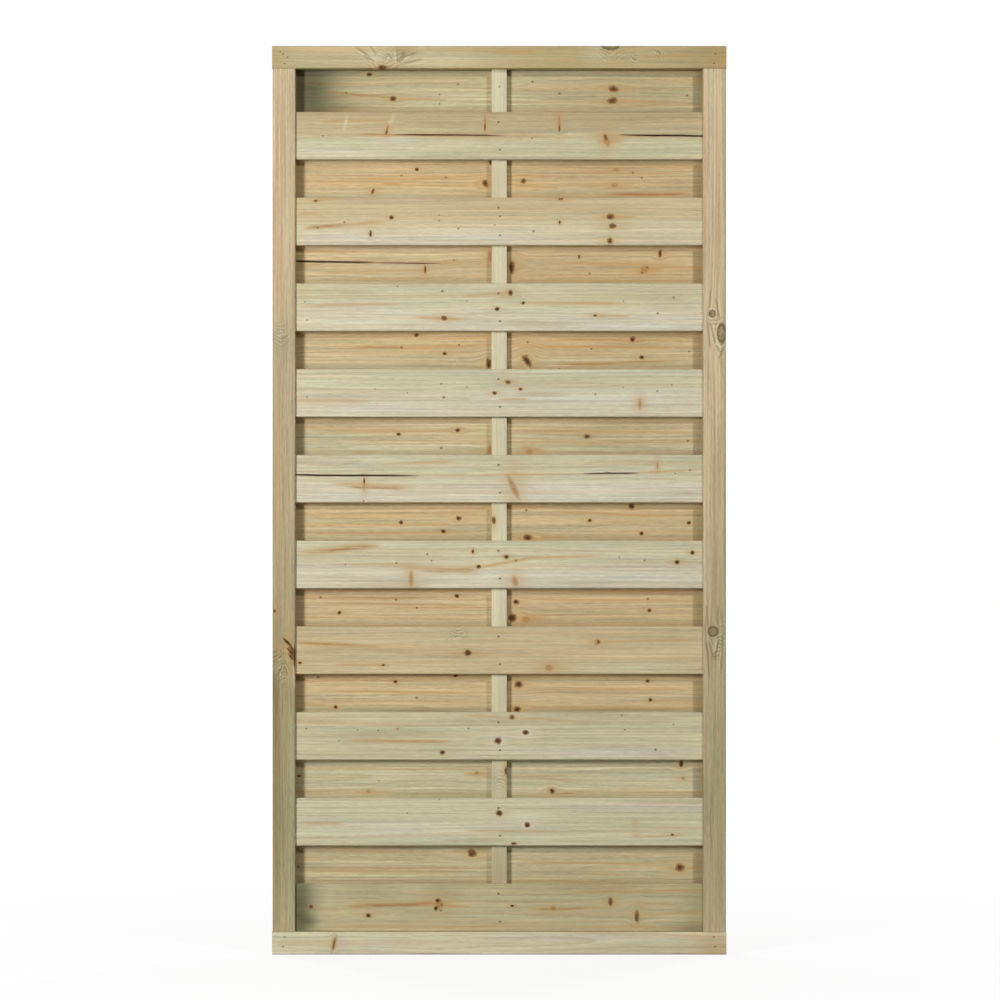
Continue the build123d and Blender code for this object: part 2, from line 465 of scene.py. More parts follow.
# %% Marks of the lower front slats
MARKS.update({
    "front_slat_06": {
        "tones": ("mint", "silver"),
        "dark": [(427, 554.2, 1.0), (431.2, 560.6, 0.8), (396, 563, 0.9), (344.7, 564.7, 0.8),
                 (472.7, 551.4, 0.9, 1.6), (506.4, 556.8, 1.6), (516, 560.7, 1.1), (478.6, 566.7, 1.5),
                 (693.2, 552.7, 1.6), (678, 562.2, 1.8), (645.2, 560.4, 0.9), (620, 557.4, 0.7)],
        "spike": [(410.6, 578.6, 2.2, 8.5), (515.2, 581.4, 2.8, 5.4, 16)],
        "rust": [(318, 552, 380, 545.2, 1.6), (416, 571.4, 480, 570, 1.1)],
        "amber": [(296, 553.6, 382, 543.4, 4.0), (380, 563.6, 486, 573.6, 2.6),
                  (430, 572.6, 482, 566.4, 2.0), (474, 567, 540, 556.4, 1.7), (520, 558, 605, 555.6, 1.2),
                  (345, 565, 400, 565, 1.0)],
        "cloud": [("milk", 486, 577, 12, 6), ("milk", 620, 580, 110, 7)],
    },
    "front_slat_07": {
        "tones": ("tan", "tan"),
        "dark": [(467.7, 653, 2.6, 2.1), (382.7, 665.2, 1.3, 0.8), (299, 663, 1.4, 1.0)],
        "brown": [(599, 642, 1.3, 1.6)],
        "spike": [(549.2, 668, 3.6, 3.6, 10), (598, 642.3, 3.2, 2.8)],
        "rust": [(292, 642.4, 360, 645, 0.9)],
        "amber": [(282, 641.6, 384, 647, 2.3), (440, 654, 500, 653, 1.3), (590, 642, 700, 640, 1.2),
                  (330, 664.6, 390, 665, 1.2)],
        "cloud": [("olive", 460, 640, 40, 7), ("green", 640, 668, 60, 5)],
        "fan": [(458, 633, 7, 9, 0.08, 270)],
    },
    "front_slat_08": {
        "tones": ("green", "green"),
        "glow": 0.3,
        "dark": [(305.4, 728.6, 0.7), (357, 730, 0.7), (377.6, 730.6, 0.7), (338.4, 740.8, 0.7),
                 (468.2, 728.6, 0.8), (442.3, 752.7, 1.8), (498, 741, 2.5, 2.3), (525.6, 732.7, 2.1, 1.9),
                 (656.3, 749.8, 1.1), (674.3, 724.5, 0.7), (622.4, 715.5, 0.8), (625.4, 730, 1.0, 0.6)],
        "brown": [(512.2, 717.4, 2.4)],
        "spike": [(397.3, 729, 1.4)],
        "rust": [(372, 742, 452, 742.4, 0.8)],
        "amber": [(340, 741, 458, 742, 1.9), (512, 719, 600, 722, 0.9), (462, 716, 505, 717, 1.0)],
        "cloud": [("milk", 610, 753, 100, 5), ("pale", 498, 741, 9, 7, 0.7),
                  ("pale", 525.6, 733, 9, 6, 0.7)],
    },
    "front_slat_09": {
        "tones": ("mint", "mint"),
        "glow": 0.3,
        "dark": [(406.8, 813.4, 0.7), (499.2, 813.4, 2.3, 2.1), (527.3, 825.2, 2.1, 1.8), (439, 799.6, 0.7),
                 (673.2, 835, 1.3, 0.8), (513.8, 843.8, 2.2, 0.9)],
        "amber": [(297, 823, 345, 824, 1.8), (640, 837, 690, 835, 1.0), (460, 830, 560, 832, 0.9)],
        "cloud": [("milk", 390, 830, 80, 9, 0.5), ("pale", 527, 825, 10, 7, 0.7), ("silver", 640, 806, 90, 4),
                  ("honey", 636, 823, 4, 4, 0.4), ("honey", 637, 836, 5, 4, 0.5)],
    },
    "front_slat_10": {
        "tones": ("olive", "olive"),
        "dark": [(310.2, 907, 1.4), (367.8, 915.8, 1.7), (512.4, 906.2, 1.3, 0.9), (437.4, 900.8, 1.8, 1.4),
                 (435.6, 908.6, 1.4, 1.6), (441.6, 905.2, 1.0), (440.6, 911, 0.9)],
        "brown": [(611, 902, 2.0, 4.0), (637.6, 917, 2.1, 5.6)],
        "spike": [(553.6, 908.4, 2.8, 2.2), (438.6, 905, 4.0, 5.4)],
        "rust": [(346, 907, 448, 902.6, 2.0), (366, 905.8, 420, 904.6, 1.6), (536, 909.6, 590, 909, 0.8)],
        "amber": [(330, 907.6, 452, 902.4, 3.2), (436, 905, 474, 907, 1.7), (525, 910, 612, 908.6, 1.7),
                  (320, 926.4, 520, 927, 1.6), (430, 926.4, 700, 927, 1.4), (560, 893, 712, 890, 1.4),
                  (306, 908, 340, 910, 1.4), (640, 915, 704, 911, 1.3)],
        "cloud": [("lichen", 372, 890, 24, 9, 0.4), ("lichen", 446, 890, 20, 7, 0.4),
                  ("tea", 600, 886, 110, 4, 0.5), ("sage", 470, 918, 60, 8),
                  ("lichen", 703, 906, 20, 60, 0.75), ("bark", 696, 928, 30, 4, 0.5)],
        "soak": [("damp", 298, 908, 16, 60), ("damp", 308, 921, 9, 5, 0.5)],
    },
})
print("front slats:", len(MARKS))

# %% [markdown]
# The rear slats lie in the shade of the front ones and kept more of their warm colour. Only the part that
# shows between two front slats gets marks, because nobody can know what the hidden edges look like.

# %% Marks of the upper rear slats
MARKS.update({
    "rear_slat_01": {
        "tones": ("olive", "olive"),
        "dark": [(344.7, 91.3, 1.0), (318, 82.6, 0.9), (457.8, 82.8, 1.1), (439.2, 93, 0.8),
                 (439.2, 102.4, 0.8), (532.8, 80.2, 1.1), (559.8, 92, 1.1), (688.4, 94, 1.0),
                 (392.4, 97.3, 1.9, 1.6), (614, 87.6, 1.8, 1.2), (613, 99.3, 1.9, 1.2),
                 (368.6, 72.8, 1.8, 1.2)],
        "glow": 0.35,
        "brown": [(614.4, 87.5, 4.7, 3.1, -12), (613, 99.3, 4.7, 3.2, 10), (392.3, 97.2, 3.2, 2.4),
                  (368.6, 73, 2.8, 2.0)],
        "rust": [(340, 92, 396, 97.2, 0.9)],
        "amber": [(318, 90, 400, 97.6, 1.5), (392, 97.6, 446, 98.4, 1.2), (600, 88, 636, 88, 1.8),
                  (600, 100, 680, 101, 1.8)],
        # the wide tea cloud at x 606 is painted shade: it darkens the right half of this slat as if less
        # light fell there
        "cloud": [("tea", 340, 108, 30, 8, 0.6), ("tea", 606, 90, 85, 30, 0.3),
                  ("green", 470, 100, 70, 8, 0.6)],
        "soak": [("damp", 309, 90, 30, 60), ("damp", 709, 74, 9, 12, 0.5)],
    },
    "rear_slat_02": {
        "tones": ("ochre", "ochre"),
        "dark": [(416.3, 168.2, 1.4), (400.8, 174.4, 0.9), (445.7, 176.4, 0.9), (633.8, 171.3, 1.0),
                 (642.6, 176.8, 1.0), (485, 182, 1.5, 2.0), (523.6, 180, 1.2),
                 (491, 161, 1.6, 2.0)],
        "brown": [(485, 182.2, 2.5, 3.4, 20), (523.6, 180, 2.6, 2.4), (371.8, 190.2, 1.2, 2.8, -24)],
        "spike": [(616.8, 168.4, 3.0, 2.0), (615.4, 184, 3.6, 2.2), (372, 190.4, 1.7, 3.0, -20)],
        "rust": [(606, 193.4, 692, 192.6, 1.2), (616, 194, 660, 193.2, 0.8)],
        "amber": [(604, 193.4, 696, 192.4, 1.5), (340, 178, 470, 177, 1.2), (560, 172, 690, 172, 1.2),
                  (380, 182, 402, 183, 1.6), (512, 184, 560, 186, 1.2)],
        # the wide tea cloud at x 606 is painted shade: it darkens the right half of this slat as if less
        # light fell there
        "cloud": [("green", 380, 196, 90, 5), ("tea", 606, 178, 85, 30, 0.3)],
    },
    "rear_slat_03": {
        "tones": ("ochre", "ochre"),
        "dark": [(579.6, 256, 0.7, 1.4), (590.2, 272.7, 1.0), (648.4, 266.6, 1.2), (642.8, 272, 1.2),
                 (453.6, 259.4, 1.0, 0.8), (661.2, 252.8, 1.1, 2.4),
                 (511.6, 267, 1.6, 4.0)],
        "brown": [(512.4, 266, 2.2, 6.0), (661.2, 253, 1.7, 3.8), (424.7, 268.2, 1.0, 3.2)],
        "spike": [(424.7, 268.8, 1.5, 4.6), (490.4, 255, 2.2, 6.5), (645.6, 269, 3.8, 3.6)],
        "rust": [(340, 261.4, 440, 262.8, 0.8)],
        "amber": [(360, 261.8, 470, 262.8, 1.4), (310, 272, 440, 270, 1.4), (540, 262, 690, 264, 1.5),
                  (646, 266.6, 712, 265, 1.2), (636, 270, 664, 268, 2.6), (440, 260, 460, 258.6, 1.0)],
        "cloud": [("cream", 390, 264, 90, 30, 0.4), ("green", 390, 281, 100, 4),
                  # the wide tea cloud at x 606 is painted shade: it darkens the right half of this slat as if
                  # less light fell there
                  ("tea", 606, 264, 85, 30, 0.25)],
        "crack": [(284, 260.2, 376, 261.8, 0.95), (376, 262.0, 442, 262.6, 0.34)],
    },
    "rear_slat_04": {
        "tones": ("ochre", "tan"),
        "dark": [(416, 334.4, 1.6, 1.2), (400.7, 347, 1.1), (444.3, 353, 1.4), (458.7, 344.4, 1.0),
                 (633.6, 339, 1.7), (642.7, 356.7, 1.6), (690.6, 351, 1.0), (527.7, 341.6, 1.0),
                 (592, 348.3, 0.9), (560, 368.4, 1.0), (527.4, 360.6, 1.5, 5.0, 34), (488.8, 364, 1.3, 3.4)],
        "brown": [(488.6, 363, 2.6, 5.0), (527.4, 360.6, 3.0, 7.0, 34), (633.6, 338.6, 2.6, 2.4)],
        "rust": [(355, 347, 404, 346.6, 0.8), (546, 365, 674, 360.2, 1.1)],
        "amber": [(330, 347.4, 480, 346, 1.8), (514, 346, 660, 347, 1.5), (545, 364.6, 680, 360.4, 1.9)],
        "pale": [(534, 365.6, 578, 365.2, 0.5)],
        # the wide tea cloud at x 606 is painted shade: it darkens the right half of this slat as if less
        # light fell there
        "cloud": [("green", 390, 366, 110, 4), ("tea", 606, 350, 85, 30, 0.25)],
    },
    "rear_slat_05": {
        "tones": ("tan", "green"),
        "dark": [(457.4, 430, 1.7, 1.4), (397.8, 434, 1.5, 1.1), (440.8, 447.7, 1.2), (689.2, 440.6, 1.1),
                 (587.8, 436.2, 1.5, 1.2)],
        "brown": [(587.7, 436.2, 2.8, 2.2), (457.4, 430, 2.4, 2.0)],
        "spike": [(529.6, 451.6, 3.6, 3.0), (490.4, 450, 3.0, 5.5)],
        "amber": [(310, 431, 480, 430, 1.3), (512, 430, 700, 432, 1.3), (518, 446, 548, 453, 2.4)],
        # the wide tea cloud at x 606 is painted shade: it darkens the right half of this slat as if less
        # light fell there
        "cloud": [("green", 400, 453, 100, 4), ("green", 620, 452, 80, 5), ("tea", 606, 436, 85, 30, 0.3)],
    },
})
print("boards so far:", len(MARKS))

# %% [markdown]
# The knots of neighbouring slats often stand above each other. These boards were sawn one after the other
# from the same log, so the same branch runs through all of them.

# %% Marks of the lower rear slats
MARKS.update({
    "rear_slat_06": {
        "tones": ("ochre", "tan"),
        "dark": [(400.4, 522.6, 1.5), (458.2, 518.3, 1.7), (443, 531.4, 1.8, 1.4), (632.5, 506.3, 2.3, 1.9),
                 (590.4, 520.6, 1.5, 1.2), (642.6, 533.7, 1.5), (690.2, 523, 1.4), (526.4, 510.3, 1.2),
                 (528, 538, 2.6, 1.8)],
        "brown": [(528, 537.4, 4.4, 2.8), (458.4, 518.4, 2.6, 2.0)],
        "amber": [(430, 512, 494, 511, 1.3), (300, 534, 480, 533, 1.2), (540, 512, 690, 516, 1.3),
                  (534, 537, 572, 538, 1.5)],
        "pale": [(533, 536.6, 542, 537.4, 0.7)],
        # the wide tea cloud at x 606 is painted shade: it darkens the right half of this slat as if less
        # light fell there
        "cloud": [("green", 390, 537, 110, 3), ("tea", 606, 521, 85, 30, 0.2)],
    },
    "rear_slat_07": {
        "tones": ("ochre", "ochre"),
        "dark": [(319.4, 597.8, 1.1), (395.2, 600, 1.2), (456.7, 596.4, 1.6), (416.3, 608.2, 1.1),
                 (338.2, 613.2, 1.4), (648.8, 599.2, 1.2), (650.5, 610.8, 1.5), (516.2, 602.3, 2.0, 1.6),
                 (512.6, 618.4, 2.8, 2.8)],
        "brown": [(516.3, 602.3, 2.9, 2.2), (512.8, 618.3, 3.8, 4.0)],
        "spike": [(526, 620, 4.0, 3.0)],
        "amber": [(520, 593, 706, 592, 1.6), (530, 600, 700, 601, 1.2), (516, 620, 548, 620, 3.0),
                  (310, 604, 480, 606, 1.1)],
        "cloud": [("tan", 390, 608, 90, 30, 0.5), ("green", 390, 623, 110, 3)],
    },
    "rear_slat_08": {
        "tones": ("ochre", "tan"),
        "dark": [(317, 677.6, 1.2), (394.7, 682.4, 1.4), (455.3, 676.4, 1.7, 1.0), (416, 698.4, 1.2),
                 (334.4, 707.8, 1.4), (648.6, 681.6, 1.6, 1.1), (651.4, 700.5, 1.4, 1.2),
                 (518.8, 685, 2.6, 2.3), (517.4, 710, 2.4, 2.0)],
        "brown": [(518.8, 685, 3.7, 3.2), (517.2, 710, 3.3, 2.8)],
        "amber": [(310, 691, 480, 694, 1.3), (530, 692, 690, 690, 1.4), (640, 700.6, 698, 701, 1.3),
                  (296, 705, 330, 705.6, 1.3)],
        "cloud": [("moss", 400, 711, 120, 4), ("moss", 620, 711, 100, 4)],
    },
    "rear_slat_09": {
        "tones": ("green", "green"),
        "dark": [(297.4, 777, 1.7, 0.8), (378, 781.6, 0.6), (682.4, 764.6, 1.5, 2.6),
                 (552.4, 792, 1.2, 1.8, 30)],
        "brown": [(552.4, 792.2, 2.2, 3.0, 30), (682.4, 765, 2.0, 3.4)],
        "spike": [(476.4, 773.7, 2.6, 1.9), (367.4, 792.4, 2.2, 1.6), (684.6, 779.2, 1.8, 1.8)],
        "rust": [(550, 794, 576, 794, 0.7)],
        "amber": [(552, 793.4, 600, 793.6, 1.3), (352, 793, 396, 793, 1.2), (462, 774, 492, 775, 1.3)],
    },
    "rear_slat_10": {
        "tones": ("sage", "sage"),
        "dark": [(471, 855.6, 1.4, 1.4), (681, 868.8, 2.0, 1.7), (296.6, 868, 1.1)],
        "brown": [(472, 854.4, 4.2, 4.0), (681.2, 868.8, 4.2, 3.6)],
        "amber": [(305, 872.5, 470, 873.5, 1.2), (512, 863, 680, 866, 1.3), (690, 869, 704, 868, 1.6),
                  (520, 874, 640, 876, 1.0)],
        "cloud": [("green", 400, 850, 120, 4), ("green", 600, 852, 100, 6), ("silver", 462, 860, 16, 8, 0.5),
                  ("tan", 380, 868, 90, 5)],
    },
})
print("slats:", len(MARKS))

# %% [markdown]
# The frame is sawn nearer to the heart than the slats, so its knots are larger and its rings arch round them.
# That is why fans and rings of knots appear here and hardly anywhere else.

# %% Marks of the frame and the batten
MARKS.update({
    "top_rail": {
        "tones": ("khaki", "khaki"),
        "dark": [(279.4, 51.6, 0.7), (286.6, 57.2, 0.8), (381, 67.2, 2.4, 1.0)],
        "brown": [(382, 67, 4.6, 1.9)],
        "ring": [(611, 45.4, 8.2, 4.4)],
        "amber": [(488, 52, 538, 51.6, 2.0), (640, 57, 700, 55, 1.2)],
        "shade": [(354, 46, 371, 57.5, 1.1), (362, 55, 375, 62, 0.8), (369, 46, 377, 55, 0.8),
                  (398, 63, 405, 51, 2.2), (400, 58, 418, 52, 0.9), (400, 64, 424, 58.4, 0.8),
                  (384.6, 61, 388, 52.6, 0.7), (387.4, 52.6, 392.4, 60, 0.8), (397, 64, 396.6, 46, 0.6)],
        "pale": [(364, 52, 378, 61, 1.3), (356, 50.4, 370, 59, 0.9), (395, 64, 394.6, 47, 0.9),
                 (398, 63, 412, 55, 0.9), (401, 66, 428, 61, 0.8), (386, 60, 388.6, 55.6, 1.2)],
        "cloud": [("olive", 360, 56, 110, 40), ("green", 450, 60, 60, 5), ("tea", 706, 57, 40, 40, 0.6),
                  ("amber", 729, 58, 16, 18, 0.6), ("honey", 273, 56, 12, 16, 0.4), ("ochre", 330, 50, 40, 5),
                  ("chalk", 374, 59, 9, 10, 0.5), ("chalk", 389, 57, 6, 8, 0.4), ("tea", 404, 51, 12, 7, 0.7),
                  ("green", 596, 52, 12, 10, 0.7)],
        "fan": [(386, 72, 22, 24, 0.026, 270), (388, 57, 6, 6, 0.16, 90), (611, 43, 15, 20, 0.035, 270),
                (634, 60, 6, 7, 0.12, 240), (658, 53, 6, 8, 0.10, 60)],
    },
    "bottom_rail": {
        "tones": ("chalk", "chalk"),
        "glow": 0.3,
        "brown": [(333.4, 944, 0.6, 5.6, -13)],
        "spike": [(333.4, 943.6, 2.2, 9.0, -13)],
        "cloud": [("cream", 560, 944, 160, 40, 0.8), ("milk", 376, 944, 14, 10), ("milk", 342, 942, 6, 9),
                  ("tan", 712, 946, 26, 30, 0.8), ("ochre", 720, 948, 10, 7), ("milk", 560, 938, 90, 3)],
    },
    "left_stile": {
        "tones": ("blush", "fawn"),
        "dark": [(273.8, 611, 1.4, 0.9), (286.6, 642.4, 4.4, 1.1, -45), (293.8, 656, 8.0, 0.8),
                 (290, 652.6, 4.4, 0.7, -38), (291.8, 648.6, 3.6, 0.7, -42), (290.6, 657.6, 3.4, 0.7, -40)],
        "brown": [(291.4, 652.6, 6.4, 3.0, -20)],
        "shade": [(272.6, 663, 281.6, 655, 1.0), (272.6, 658, 279, 652.6, 0.8), (275.6, 678, 284, 661, 1.2),
                  (284.4, 661, 291.4, 678, 1.0), (280.4, 676, 284, 666, 0.8), (284.4, 666, 287.6, 676, 0.8),
                  (274, 668, 272.8, 706, 1.0), (278.4, 672, 275.8, 716, 1.0), (288.6, 674, 290.6, 716, 0.7),
                  (282.8, 676, 281.6, 720, 0.7)],
        "pale": [(274, 661, 282.6, 658, 0.8), (279, 678, 284, 663, 0.9), (285.4, 664, 290, 678, 0.9),
                 (292, 664, 293, 690, 0.8)],
        "amber": [(281, 90, 280, 330, 1.0), (278, 340, 279, 640, 0.9)],
        "cloud": [("stone", 283, 520, 190, 60), ("moss", 283, 346, 18, 40, 0.7),
                  ("lichen", 283, 800, 180, 60), ("moss", 291, 800, 120, 6, 0.9),
                  ("bark", 275, 692, 80, 5, 0.75), ("bark", 274.5, 820, 150, 4, 0.45),
                  ("moss", 274, 500, 140, 5, 0.6),
                  ("lichen", 283, 655, 24, 40, 0.6), ("honey", 282, 652, 9, 5, 0.5)],
        "fan": [(283.4, 666, 16, 12, 0.11, 90), (276, 656, 9, 6, 0.02, 130), (280, 336, 10, 11, 0.05, 270)],
    },
    "right_stile": {
        "tones": ("blush", "blush"),
        "dark": [(711.6, 313.6, 1.2, 1.2)],
        "ring": [(713, 313.7, 3.4, 3.2), (722.4, 333.2, 9.2, 4.2), (713.8, 631.4, 4.9, 4.8)],
        "amber": [(717, 90, 718, 300, 1.0), (716, 360, 717, 620, 0.9)],
        "shade": [(710.6, 321, 716.6, 345, 0.9), (717, 345, 722, 354, 1.0), (725.4, 345, 719, 360, 0.9),
                  (708, 319, 711, 350, 0.8), (716, 296, 721, 322, 0.8), (711.4, 288, 710.4, 308, 0.8),
                  (707.4, 604, 709, 629, 0.8), (719, 604, 718.6, 628, 0.8), (708.6, 638, 714.6, 660, 1.0),
                  (720.4, 636, 715, 662, 1.0), (723.6, 632, 722, 676, 1.0), (706.8, 640, 710.6, 680, 0.8)],
        "pale": [(713, 322, 719, 346, 0.9), (722, 346, 718.6, 356, 1.0), (711, 638, 715.4, 654, 0.9),
                 (718, 638, 715.6, 652, 0.9), (722, 642, 719.6, 672, 0.8)],
        "cloud": [("stone", 715, 560, 140, 60, 0.7), ("tea", 726, 400, 400, 2.2, 0.5),
                  ("lichen", 715, 800, 170, 60, 0.8), ("moss", 708, 760, 130, 6, 0.6),
                  ("lichen", 714, 632, 20, 40, 0.4), ("tea", 713, 656, 12, 5, 0.6),
                  ("blush", 707, 530, 170, 5, 0.6), ("drab", 725, 260, 200, 4, 0.6),
                  ("milk", 722, 346, 5, 5, 0.6)],
        "fan": [(722, 342, 13, 8, 0.10, 270), (721, 642, 20, 8, 0.12, 80), (715, 323, 7, 8, 0.05, 270)],
    },
    "centre_batten": {
        "tones": ("chalk", "silver"),
        "dark": [(499.4, 86, 0.9), (506.4, 771, 2.2, 1.2)],
        "brown": [(493.6, 520.4, 3.4, 2.2), (506.4, 771.6, 4.0, 1.8)],
        "cloud": [("cream", 500, 180, 40, 20), ("green", 500, 800, 110, 20), ("tea", 500, 910, 66, 20, 0.75)],
        "fan": [(500, 780, 9, 8, 0.12, 90)],
    },
})


def count_marks(*kinds):
    """How many marks of these kinds the whole panel has."""
    return sum(len(marks.get(kind, [])) for marks in MARKS.values() for kind in kinds)


print("boards with marks of their own:", len(MARKS))

# %% [markdown]
# Every board is painted in its own directions: along the grain, across it and through it, from its own
# middle. So a stile and a slat can share all the formulas, although one stands and one lies. The board
# keeps its colour so far, and each layer paints over it.

# %% A board and its directions
UPRIGHT = ("left_stile", "right_stile", "centre_batten")
KINDS = {
    "front": {"figure": 0.26, "grain": 0.20, "gap": 0.0044, "band": 0.16},
    "rear": {"figure": 0.38, "grain": 0.25, "gap": 0.0038, "band": 0.44},
    "stile": {"figure": 0.40, "grain": 0.25, "gap": 0.0030, "band": 0.30},
    "rail": {"figure": 0.40, "grain": 0.17, "gap": 0.0028, "band": 0.20},
    "batten": {"figure": 0.18, "grain": 0.12, "gap": 0.0040, "band": 0.10},
}


class Board:
    """One board's material while it is being made."""

    def __init__(self, name, number):
        self.name = name
        self.number = number
        self.marks = MARKS[name]
        self.kind = next(kind for kind in KINDS if kind in name)
        self.look = KINDS[self.kind]
        self.upright = name in UPRIGHT
        low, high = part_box(name)
        self.middle = (low + high) / 2
        self.material = bpy.data.materials.new("pine_" + name)
        self.material.use_nodes = True
        self.shader = self.material.node_tree.nodes["Principled BSDF"]
        self.r = Recipe(self.material.node_tree)
        self.place = self.find_place()
        self.colour = None

    def find_place(self):
        """Each point's place along the grain, across it and through the board."""
        coordinates = self.r.add("ShaderNodeTexCoord", output="Object")
        x, y, z = self.r.split(self.r.vector("SUBTRACT", coordinates, tuple(self.middle)))
        return self.r.join(z, x, y) if self.upright else self.r.join(x, z, y)

    def at(self, px, py):
        """A pixel of the photograph in the same directions."""
        x, z = seen(px, py)
        x, z = x - self.middle.x, z - self.middle.z
        return (z, x, 0.0) if self.upright else (x, z, 0.0)

    def paint(self, amount, tone, strength=1.0, blend_type="MIX"):
        """Lays a tone over the colour so far."""
        if strength != 1.0:
            amount = self.r.math("MULTIPLY", amount, strength)
        self.colour = self.r.blend(amount, self.colour, tone, blend_type)


print("kinds of board:", len(KINDS), "of which stand:", len(UPRIGHT))

# %% [markdown]
# The rows of the lists become copies of the groups. Knots of one kind are gathered into one field: how far
# the nearest one is, how much halo falls here, and how far the rings are pushed. A dark knot that is smaller
# than a nail head is only a speck: it neither stains the wood nor moves the rings.

# %% Laying knots
KnotField = namedtuple("KnotField", "distance halo push")
SPECK_RADIUS = 1.25
ROUND = 0.9
NO_KNOT = KnotField(9.0, 0.0, 0.0)


def lay_knot(board, px, py, along, across, lean=0.0):
    """One copy of the knot group. The radii are pixels."""
    return board.r.group(KNOT, {
        "Place": board.place,
        "Centre": board.at(px, py),
        "Shrink": (1 / (along * PIXEL), 1 / (across * PIXEL), 0.0),
        "Tilt": math.radians(-lean),
    })


def lay_knots(board, rows):
    """All of a board's knots of one kind."""
    field = NO_KNOT
    for px, py, along, *rest in rows:
        across = rest[0] if rest else along * ROUND
        lean = rest[1] if len(rest) > 1 else 0.0
        knot = lay_knot(board, px, py, along, across, lean)
        field = KnotField(
            board.r.math("MINIMUM", field.distance, knot["Distance"]),
            board.r.math("MAXIMUM", field.halo, knot["Halo"]),
            board.r.math("ADD", field.push, knot["Push"]),
        )
    return field


print("knots and specks:", count_marks("dark", "brown", "spike", "ring"))

# %% [markdown]
# Streaks, clouds and fans are laid the same way. Streaks and clouds paint at once, one over the other. Fans
# only give back their lines and their mask, because the figure has to leave out the straight rings there.

# %% Laying streaks, clouds and fans
def lay_streaks(board, kind, tone, place, strength, spread=1.0):
    """Paints a board's streaks of one kind."""
    for x0, y0, x1, y1, half_width in board.marks.get(kind, []):
        start, stop = Vector(board.at(x0, y0)), Vector(board.at(x1, y1))
        half_width *= PIXEL * spread
        inputs = {"Place": place, "Start": start, "Run": stop - start, "Half width": half_width}
        streak = board.r.group(STREAK, inputs)
        board.paint(streak["Amount"], tone, strength)


def lay_clouds(board, kind, broken, blend_type="MIX"):
    """Paints a board's soft ovals of one kind, each the halo of a knot, where broken lets them through."""
    for tone, px, py, along, across, *rest in board.marks.get(kind, []):
        cloud = lay_knot(board, px, py, HALO_ALONG * along, HALO_ACROSS * across)
        amount = board.r.math("MULTIPLY", cloud["Halo"], broken)
        board.paint(amount, TONES[tone], rest[0] if rest else 1.0, blend_type)


def lay_fans(board):
    """The lines of a board's fans, and where they take the place of its straight rings."""
    late, mask = 0.0, 0.0
    for px, py, ahead, aside, bow, way in board.marks.get("fan", []):
        turn = math.radians(90 - way if board.upright else way)
        fan = board.r.group(FAN, {
            "Place": board.place,
            "Centre": board.at(px, py),
            "Shrink": (1 / (ahead * PIXEL), 1 / (aside * PIXEL), 0.0),
            "Tilt": -turn,
            "Bow": bow / PIXEL,
        })
        late = board.r.math("MAXIMUM", late, fan["Late"])
        mask = board.r.math("MAXIMUM", mask, fan["Mask"])
    return late, mask


print("streaks:", count_marks("amber", "rust", "pale", "shade"), "clouds:", count_marks("cloud", "soak"))
print("fans:", count_marks("fan"))

# %% [markdown]
# The layers follow what happened to the real board: it grows, it is sawn and shows its tones and its figure,
# resin bleeds and damp soaks in. Knots are harder and take up less, so they are painted over those stains.
# Cracks and nails come last.
# First it grows. The knots come before the rings, because they push them aside. Each board has its own pith
# and its own place in the noise, so no two boards look alike.

# %% Growth
PITH_DEPTH = 0.055
PITH_SWAY = 0.04
PITH_SPREAD = 0.4
STREAK_SHARE, FIBRE_SHARE = 0.6, 0.4


def grow(board):
    r = board.r
    rows = {kind: board.marks.get(kind, []) for kind in ("dark", "brown", "spike", "ring")}
    rows["speck"] = [row for row in rows["dark"] if max(row[2:4]) < SPECK_RADIUS]
    rows["dark"] = [row for row in rows["dark"] if max(row[2:4]) >= SPECK_RADIUS]
    board.knots = {kind: lay_knots(board, rows[kind]) for kind in rows}
    pushes = [board.knots[kind].push for kind in ("dark", "brown", "ring")]
    pith_side = PITH_SWAY * math.sin(board.number * 2.1)
    pith_depth = PITH_DEPTH * (1.0 + PITH_SPREAD * math.cos(board.number * 1.3))
    rings = r.group(GROWTH_RINGS, {
        "Place": board.place,
        "Swerve": r.total("ADD", pushes),
        "Pith": (0.0, pith_side, pith_depth),
        "Gap": board.look["gap"],
        "Seed": (board.number * 1.71, board.number * 0.37, board.number * 0.53),
    })
    board.late, board.fibre, board.streak = rings["Late"], rings["Fibre"], rings["Streak"]
    board.band, board.patch = rings["Band"], rings["Patch"]
    board.wander = r.math("SUBTRACT", board.patch, 0.5)
    grain = r.math("MULTIPLY", board.streak, STREAK_SHARE)
    board.grain = r.math("ADD", grain, r.math("MULTIPLY", board.fibre, FIBRE_SHARE))


print("pith behind the boards:", PITH_DEPTH * 1000, "mm")

# %% [markdown]
# Then the tones. The upper and lower tone meet along a wandering line, and the clouds that treatment and
# weather left lie over them, broken up by the patches.

# %% Tones and clouds
TONE_WANDER = 0.05
TONE_EDGE = (-0.014, 0.014)
CLOUD_BREAK = (0.1, 0.42)


def lay_tones(board):
    r = board.r
    across = r.split(board.place)[1]
    line = r.math("ADD", across, r.math("MULTIPLY", board.wander, TONE_WANDER))
    first, second = (TONES[tone] for tone in board.marks["tones"])
    if board.upright:
        first, second = second, first
    board.colour = r.blend(r.between(line, *TONE_EDGE), second, first)
    lay_clouds(board, "cloud", r.between(board.patch, *CLOUD_BREAK))


print("boards of two tones:", sum(len(set(marks["tones"])) > 1 for marks in MARKS.values()))

# %% [markdown]
# The figure is what the rings draw: darker latewood lines, honey-coloured and mossy bands, and the fine
# shade of the fibres. The rear slats also get painted shade: their ends beside the stiles are darker, where
# the stiles shade them, and so is a strip on their face just above each front slat, where that slat shades
# it.

